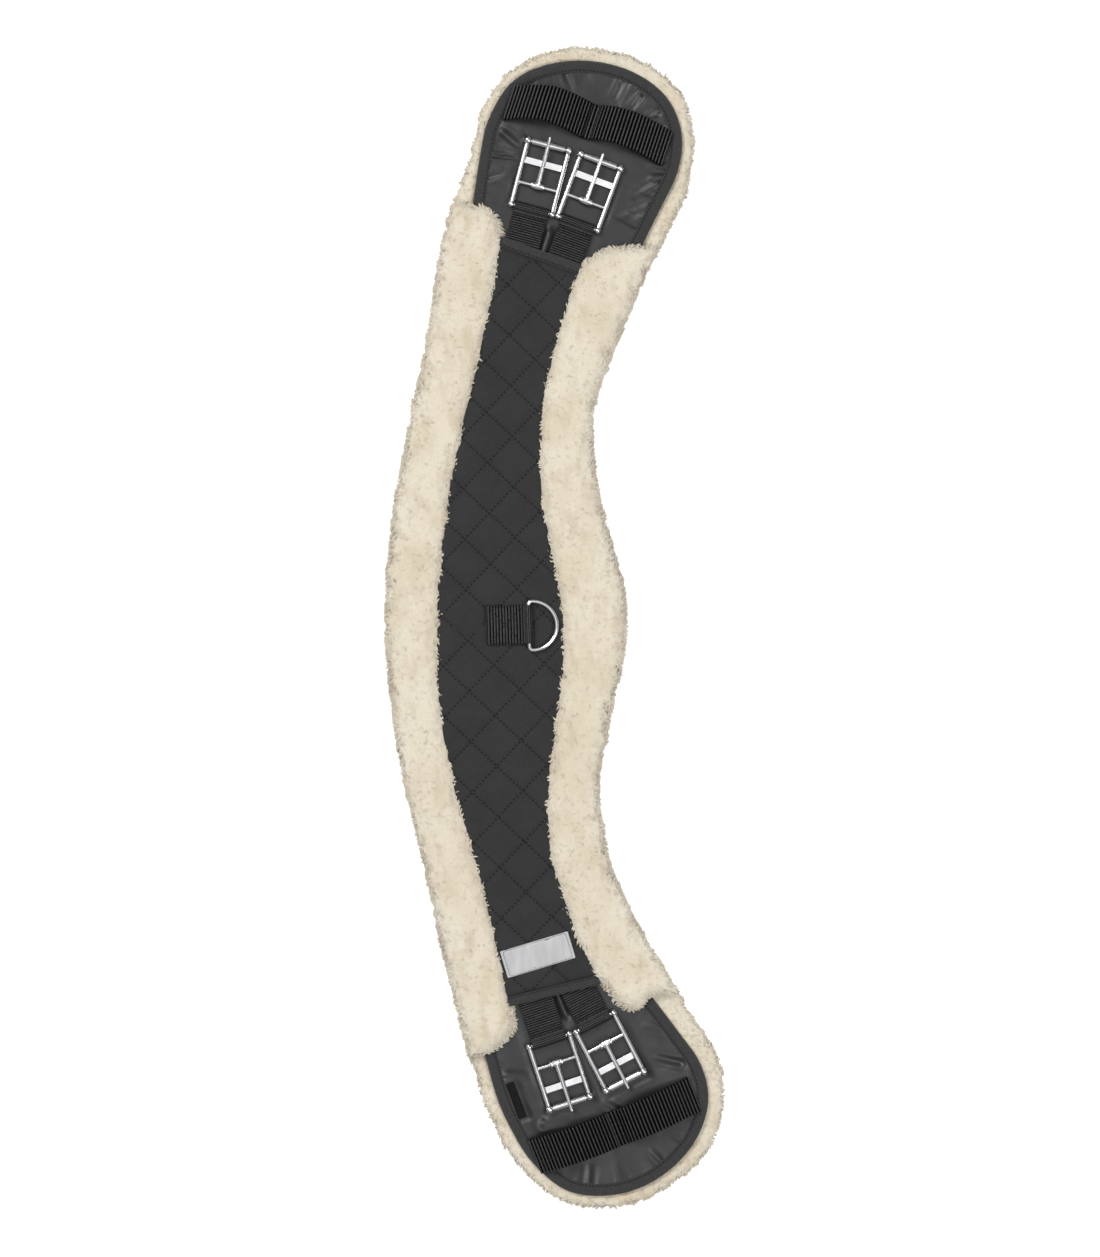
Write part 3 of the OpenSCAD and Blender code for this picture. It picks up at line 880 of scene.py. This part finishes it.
def flap_height(end):
    edge_line = FLAP_LOOPS[end]
    around = np.concatenate([[0], np.cumsum(np.linalg.norm(np.diff(edge_line, axis=0), axis=1))])

    def height(xy, distance):
        gaps = np.linalg.norm(xy[:, None] - edge_line[None], axis=-1)
        s = around[np.argmin(gaps, 1)]
        inward = distance - BINDING_W
        gather = noise(np.stack([s, inward * 0.12], -1), 7.5, 41) + 0.5 * noise(
            np.stack([s, inward * 0.2], -1), 3.6, 42)
        fade = np.exp(-np.maximum(inward, 0) / 11)
        out = GATHER[end] * gather * fade + 1.2 * noise(xy, 38, 43) + 0.7 * noise(xy, 15, 44)
        for (u0, v0), (u1, v1), depth, width in CREASES[end]:
            a, b = turned(end, [[u0, v0], [u1, v1]])
            d = b - a
            t = np.clip(((xy - a) @ d) / (d @ d), 0, 1)
            off = np.linalg.norm(xy - a - t[:, None] * d, axis=1)
            out += depth * (0.8 * np.exp(-((off - 1.7 * width) / width) ** 2)
                            - np.exp(-(off / width) ** 2)) * (1 - t) ** 0.5
        out = FLAP_TOP + 0.35 + out
        u, v = end_frame(end, xy)
        pressed = np.zeros(len(xy))
        for side in SIDES:
            at, across, along = buckle_frame(f"{end}_{side}")
            local_u = (xy - at[:2]) @ across[:2]
            local_v = (xy - at[:2]) @ along[:2]
            pressed = np.maximum(pressed, (1 - smoothstep(16, 22, np.abs(local_u)))
                                 * smoothstep(-42, -36, local_v)
                                 * (1 - smoothstep(52, 58, local_v)))
        pressed = np.maximum(pressed, 1 - smoothstep(-12, -2, v))
        if end == "lower":
            pressed = np.maximum(pressed, smoothstep(-5, -1, tag_depth(xy)))
        middle = np.mean([end_frame(end, buckle_frame(f"{end}_{side}")[0][None, :2])[0][0]
                          for side in SIDES])
        ridge = (np.exp(-((u - middle) / 2.3) ** 2) * smoothstep(-34, -20, v)
                 * (1 - smoothstep(-3, 5, v)))
        low = np.minimum(out, FLAP_TOP - 0.1 + 0.15 * noise(xy, 12, 45))
        out = out * (1 - pressed) + low * pressed + 2.6 * ridge
        return np.maximum(out, FLAP_TOP - 2.4) - 1.2 * (1 - smoothstep(0, 2, distance))
    return height


def chain_for(end):
    """The edge of the flap that the binding covers, from its left end to its right end."""
    loop = resampled(FLAP_LOOPS[end], 1.0, closed=True)
    u, v = end_frame(end, loop)
    keep = v > np.where(u < 0, -8, 8 if end == "upper" else 11)
    first = next(i for i in range(len(loop)) if keep[i] and not keep[i - 1])
    line = np.roll(loop, -first, axis=0)[:keep.sum()]
    if end_frame(end, line[:1])[0][0] > 0:
        line = line[::-1]
    return line


def path_frames(line):
    """Across and up directions along a level path, across to its right."""
    way = unit(np.gradient(line, axis=0))
    across = np.stack([way[:, 1], -way[:, 0]], -1)
    return np.pad(across, ((0, 0), (0, 1))), np.tile([0, 0, 1.0], (len(line), 1))


# [across, up] round the binding, from the flap's edge inwards
BINDING_PROFILE = [(0.9, 10.2), (0.1, 10.6), (-0.35, 12.0), (-0.2, 13.4), (0.5, 14.25), (1.6, 14.6),
                   (4.0, 14.75), (5.9, 14.6), (6.7, 14.25), (7.2, 14.3), (7.9, 14.35), (8.4, 14.0),
                   (8.5, 13.2), (8.2, 12.6), (4.5, 12.5)]
SEAM_AT = (6.9, 14.55)

for end in ENDS:
    loop = FLAP_LOOPS[end]
    shape = Shape()
    plate(shape, loop, 1.5, flap_height(end), FLEECE_TOP + 0.1)
    piece = shape.make(f"satin_flap_{end}", "satin", SATIN)
    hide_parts(f"end_flap_{end}")
    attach(piece, f"{end}_end")

    line = resampled(chain_for(end), 1.6)
    across, up = path_frames(line)
    centre = turned(end, [[0, 60]])[0]
    if ((centre - line[len(line) // 2]) @ across[len(line) // 2, :2]) < 0:
        across = -across
    path = np.column_stack([line, np.zeros(len(line))])
    shape = Shape()
    wobble = noise(line, 6, 51)
    path[:, 2] += 0.12 * wobble
    sweep(shape, path, across, up, BINDING_PROFILE)
    seam = path + across * SEAM_AT[0] + up * SEAM_AT[1]
    stitches(shape, seam, *FLAP_BINDING_STITCH)
    piece = shape.make(f"flap_binding_piece_{end}", "binding", BINDING, THREAD)
    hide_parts(f"flap_binding_{end}")
    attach(piece, f"{end}_end")


# ---- keepers

# The middle of each keeper: [u, v] of points along it
KEEPER_BOW = {
    "upper": [(-61, 77.5), (-48, 82), (-33, 85.5), (-12, 84.5), (-1, 83.5), (12, 85.5), (29, 86),
              (58, 82)],
    "lower": [(-63, 86), (-40, 87.5), (-10, 88.6), (2, 88.8), (30, 88), (60, 86.5)]}
KEEPER_Z = FLAP_TOP + 1.4
SEAM_HALF = 4
RIB = 2.6
KEEPER_W, KEEPER_T, KEEPER_RISE = 26, 1.6, 9
KEEPER_STEP = RIB / 8


def keeper_line(end):
    """The strip's centre line [u, rise]."""
    (first, _), *_, (last, _) = KEEPER_BOW[end]
    t = np.linspace(0, 1, 160)
    left = np.column_stack([first + (-SEAM_HALF - first) * t,
                            KEEPER_RISE * np.sin(np.pi * t) ** 0.8])
    seam = np.column_stack([np.linspace(-SEAM_HALF, SEAM_HALF, 20)[1:-1], np.zeros(18)])
    right = np.column_stack([SEAM_HALF + (last - SEAM_HALF) * t,
                             KEEPER_RISE * np.sin(np.pi * t ** 0.72) ** 0.8])
    return np.concatenate([left, seam, right])


for end in ENDS:
    line = resampled(keeper_line(end), KEEPER_STEP)
    way = unit(np.gradient(line, axis=0))
    up = np.column_stack([-way[:, 1], way[:, 0]])
    arc = np.arange(len(line)) * KEEPER_STEP
    sewn = 1 - smoothstep(SEAM_HALF - 0.8, SEAM_HALF + 0.6, np.abs(line[:, 0]))
    crest = smoothstep(0.3, 0.95, np.abs(np.sin(np.pi * arc / RIB)))
    rib = 0.95 * crest * (1 - 0.3 * sewn)
    bow = curve_through(KEEPER_BOW[end], line[:, 0])
    half_widths = [0.25, 0.5, 0.75, 0.9, 0.97, 1]
    widths = np.array([-w for w in half_widths[::-1]] + [0] + half_widths)
    edge_drop = np.array([0.5, 0.15] + [0] * 9 + [0.15, 0.5])
    shape = Shape()
    rings = []
    for side, heights in ((1, rib + KEEPER_T / 2), (-1, -(rib * 0.6 + KEEPER_T / 2))):
        order = range(len(widths)) if side > 0 else range(len(widths) - 1, -1, -1)
        for k in order:
            level = heights - side * edge_drop[k]
            wave = (0.25 * np.sin(2 * np.pi * arc / RIB) * (abs(widths[k]) > 0.95)
                    * np.sign(widths[k]))
            rings.append(np.column_stack([
                line[:, 0] + up[:, 0] * level,
                bow + widths[k] * KEEPER_W / 2 + wave,
                KEEPER_Z + KEEPER_T / 2 + line[:, 1] + up[:, 1] * level]))
    strip = np.stack(rings, 1)
    rows, columns = strip.shape[:2]
    faces = tube_faces(rows, columns)
    if end == "upper":
        faces = [f[::-1] for f in faces]
    shape.add(turned(end, strip), faces)
    # Faces in the grooves between the ribs take the painted groove shade
    groove_shade_rows = crest[:-1] + crest[1:] < 1.1
    shape.kinds[:(rows - 1) * columns] = np.repeat(groove_shade_rows * PAINTED_SHADE_KIND, columns).tolist()
    mid = float(curve_through(KEEPER_BOW[end], np.array([0.0]))[0])
    top = KEEPER_Z + KEEPER_T + 0.45
    sewn_rows(shape, partial(turned, end),
              [(u, mid - 11.5, u, mid + 11.5) for u in (-2.6, 2.6)], top, *KEEPER_STITCH)
    piece = shape.make(f"keeper_piece_{end}", "webbing", WEBBING, THREAD, PAINTED_GROOVE_SHADE)
    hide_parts(f"keeper_{end}")
    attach(piece, f"{end}_end")


# ---- elastics and D-ring tab

FINE_RIB = 1.5  # pitch of the ribs where a strap bends round its bar


def folded_strap(place, width, tail, low, thick, loop_r, rib, rib_height, seed, cross_half):
    """A strap sewn back on itself round a bar: place([across, along, up]) puts it on the girth.

    cross_half is half the width of the sewn cross, which pulls the top layer down.
    """
    top = low + thick
    along = np.arange(-tail, -loop_r - 0.9, 0.28)
    ribs = rib_height * smoothstep(0.2, 0.9, np.abs(np.sin(np.pi * along / rib)))
    upper = np.column_stack([along, top - rib_height * 0.5 + ribs])
    start = math.pi - math.asin(min(0.95, max(-0.95, (top - 0.5) / loop_r)))
    angle = np.linspace(start, -math.pi / 2, 60)
    fine = np.abs(np.sin(angle * loop_r * np.pi / FINE_RIB))
    reach = (loop_r - 0.05 + 0.35 * fine)[:, None]
    bend = reach * np.column_stack([np.cos(angle), np.sin(angle)])
    under = np.column_stack([np.linspace(-1.5, -tail, 8), np.full(8, low)])
    profile = np.concatenate([upper, bend, under])
    half = width / 2
    stops = np.concatenate([[-half, -half + 0.35], np.linspace(-half + 1.2, half - 1.2, 13),
                            [half - 0.35, half]])
    inset = np.array([0.55, 0.12] + [0] * 13 + [0.12, 0.55])
    centre = np.array([-tail / 2, (low + top) / 2])
    rings = []
    for u, shrink in zip(stops, inset):
        line = profile.copy()
        pull = np.zeros(len(line))
        flat = line[:, 0] < -loop_r - 0.9
        box_low, box_high = -tail * 0.93, -loop_r - 2.4
        t = (line[:, 0] - box_low) / (box_high - box_low)
        for sign in (1, -1):
            pull += np.exp(-((u / cross_half - sign * (2 * t - 1)) / 0.11) ** 2)
        line[:, 1] -= np.where(flat & (line[:, 1] > centre[1]), 0.35 * np.minimum(pull, 1), 0)
        line[:, 1] += np.where(line[:, 1] > centre[1], 0.16 * noise(
            np.column_stack([line[:, 0], np.full(len(line), u)]), 3.2, seed), 0)
        sunk = line[:, 1] > centre[1]
        line[:, 1] -= np.where(sunk, shrink, -shrink * 0.5)
        rings.append(np.column_stack([np.full(len(line), u), line]))
    strap = np.stack(rings)
    rows, columns = strap.shape[:2]
    shape = Shape()
    shape.add(place(strap), tube_faces(rows, columns))
    # Faces in the grooves between the ribs, and between the fine ribs round the bend, take the
    # painted groove shade
    valley_shade_faces = np.zeros(columns, bool)
    valley_shade_faces[:len(along)] = np.abs(np.sin(np.pi * along / rib)) < 0.5
    valley_shade_faces[len(along):len(along) + len(angle)] = fine < 0.45
    shape.kinds[:(rows - 1) * columns] = np.tile(valley_shade_faces * PAINTED_SHADE_KIND, rows - 1).tolist()
    return shape, top


def outward(piece):
    """Turns a closed mesh's faces outwards."""
    mesh = bmesh.new()
    mesh.from_mesh(piece.data)
    bmesh.ops.recalc_face_normals(mesh, faces=mesh.faces)
    mesh.to_mesh(piece.data)
    mesh.free()


# Rows of stitches on a strap, [u, v, u, v]: a cross and the box round it
ELASTIC_ROWS = [(-11.2, -22, 11.2, -6.5), (-11.2, -6.5, 11.2, -22), (-11.6, -6.2, 11.6, -6.2),
                (-11.6, -22, -11.6, -6.2), (11.6, -22, 11.6, -6.2)]
TAB_ROWS = [(-12.3, -28, 12.3, -6), (-12.3, -6, 12.3, -28), (-12.6, -28.4, 12.6, -28.4),
            (-12.6, -5.6, 12.6, -5.6), (-12.8, -28.4, -12.8, -5.6), (12.8, -28.4, 12.8, -5.6)]

for number, key in enumerate(BUCKLES):
    place = partial(in_buckle, key)
    shape, top = folded_strap(
        place, width=25.4, tail=36, low=FLAP_TOP + 0.3 - buckle_frame(key)[0][2], thick=3.0,
        loop_r=3.1, rib=1.75, rib_height=0.7, seed=70 + number, cross_half=11.5)
    sewn_rows(shape, place, ELASTIC_ROWS, top + 0.2, *ELASTIC_STITCH)
    sewn_rows(shape, place, [(-11.8, -4.9, 11.8, -4.9)], top + 0.1, *ZIGZAG_STITCH)
    piece = shape.make(f"elastic_piece_{key}", "elastic", ELASTIC, THREAD, PAINTED_GROOVE_SHADE)
    outward(piece)
    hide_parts(f"elastic_{key}")
    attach(piece, f"elastic_{key}")

RING = np.array(JOINTS["d_ring_swing"]["pos_m"]) / MM
tab_low, tab_high = (np.array(k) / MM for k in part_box("d_ring_tab"))
TAB_Y = (tab_low[1] + tab_high[1]) / 2


def on_tab(points):
    p = np.asarray(points, float)
    return np.stack([RING[0] + p[..., 1], TAB_Y + p[..., 0], RING[2] + p[..., 2]], -1)


shape, top = folded_strap(
    on_tab, width=tab_high[1] - tab_low[1], tail=RING[0] - tab_low[0],
    low=tab_low[2] - RING[2] + 0.1, thick=2.6, loop_r=2.75, rib=2.15, rib_height=0.8, seed=80,
    cross_half=12.5)
sewn_rows(shape, on_tab, TAB_ROWS, top + 0.25, *TAB_STITCH)
piece = shape.make("d_ring_strap", "webbing", ELASTIC, THREAD, PAINTED_GROOVE_SHADE)
outward(piece)
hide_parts("d_ring_tab")
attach(piece, "centre")


# ---- label and size tag

def rounded(corners, radius, steps=5):
    """A convex outline with rounded corners."""
    out = []
    n = len(corners)
    for i in range(n):
        p, before, after = corners[i], corners[i - 1], corners[(i + 1) % n]
        a = p + unit(before - p) * radius
        b = p + unit(after - p) * radius
        for t in np.linspace(0, 1, steps):
            out.append((1 - t) ** 2 * a + 2 * t * (1 - t) * p + t * t * b)
    return np.array(out)


loop = outline("label_patch")
low, high = (k.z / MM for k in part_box("label_patch"))
middle = loop.mean(0)
shape = Shape()


def label_height(xy, distance):
    return (high + 0.25 - 0.35 * np.exp(-((distance - 1.6) / 0.7) ** 2)
            - 0.3 * (1 - smoothstep(0, 0.8, distance)) + 0.15 * noise(xy, 14, 91))


plate(shape, rounded(loop, 0.8), 0.7, label_height, low - 0.4)
seam = rounded(loop - unit(loop - middle) * 2.1, 1.0)
seam = np.concatenate([seam, seam[:1]])
stitches(shape, np.column_stack([seam, np.full(len(seam), high + 0.05)]), *LABEL_STITCH)
piece = shape.make("label_piece", "label", LABEL, PALE_THREAD)
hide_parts("label_patch")
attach(piece, "lower_end")

loop = outline("size_tag")
low, high = (k.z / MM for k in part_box("size_tag"))
shape = Shape()
plate(shape, rounded(loop, 0.6), 0.7, lambda xy, d: high + 0.5 + 0.5 * noise(xy, 9, 95)
      - 0.3 * (1 - smoothstep(0, 0.7, d)), low - 0.6)
piece = shape.make("size_tag_piece", "size_tag", TAG)
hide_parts("size_tag")
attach(piece, "lower_end")


# ---- hardware

for name, node in NODES.items():
    if name.startswith(("buckle_frame", "tongue", "roller")) or name == "d_ring":
        node.data.materials.clear()
        node.data.materials.append(STEEL.item)


# ---- floor, light and camera

bpy.ops.mesh.primitive_plane_add(size=30, location=(0, 0, -0.0004))
floor = bpy.context.object
floor.name = "floor"
paper = Finish("floor", grey(0.93), 0.9, Specular_IOR_Level=0.0, Emission_Color=(1, 1, 1, 1),
               Emission_Strength=0.5)
paper.tint(spots(400, 2), grey(0.94))
floor.data.materials.append(paper.item)

scene = bpy.context.scene
world = bpy.data.worlds.new("studio")
scene.world = world
world.use_nodes = True
tree = world.node_tree
sky = tree.nodes["Background"]
place = tree.nodes.new("ShaderNodeTexCoord")
split = tree.nodes.new("ShaderNodeSeparateXYZ")
ramp = tree.nodes.new("ShaderNodeValToRGB")
tree.links.new(place.outputs["Generated"], split.inputs[0])
tree.links.new(split.outputs["Z"], ramp.inputs["Fac"])
tree.links.new(ramp.outputs["Color"], sky.inputs["Color"])
# Bright overhead and darker towards the sides, so that polished rods have dark edges
SKY = [(0.0, 0.30), (0.10, 0.30), (0.30, 0.20), (0.78, 0.26), (0.93, 0.50), (0.97, 1.0)]
stops = ramp.color_ramp.elements
while len(stops) < len(SKY):
    stops.new(0.5)
for stop, (height, level) in zip(stops, SKY):
    stop.position, stop.color = height, (level, level, level, 1)
sky.inputs["Strength"].default_value = 1.25


def softbox(name, place, size, power):
    light = bpy.data.lights.new(name, "AREA")
    light.shape, light.size, light.energy = "SQUARE", size, power
    lamp = bpy.data.objects.new(name, light)
    scene.collection.objects.link(lamp)
    lamp.location = place
    lamp.rotation_euler = (-Vector(place)).to_track_quat("-Z", "Y").to_euler()


softbox("key_light", (-1.8, 1.9, 3.4), 1.6, 90)
softbox("fill_light", (1.9, -1.4, 3.6), 1.8, 70)
scene.view_settings.view_transform = "Standard"

CAMERA_HEIGHT = 3.0
VIEW_HEIGHT = 0.907  # how much of the girth's length the picture is high
TURN = math.radians(1.73)
camera = bpy.data.objects.new("camera", bpy.data.cameras.new("camera"))
scene.collection.objects.link(camera)
camera.data.sensor_width = 36
camera.data.lens = 36 * CAMERA_HEIGHT / VIEW_HEIGHT
camera.location = (0.0026, -0.0014, CAMERA_HEIGHT + 0.015)
camera.rotation_euler = (0, 0, -TURN)
scene.camera = camera
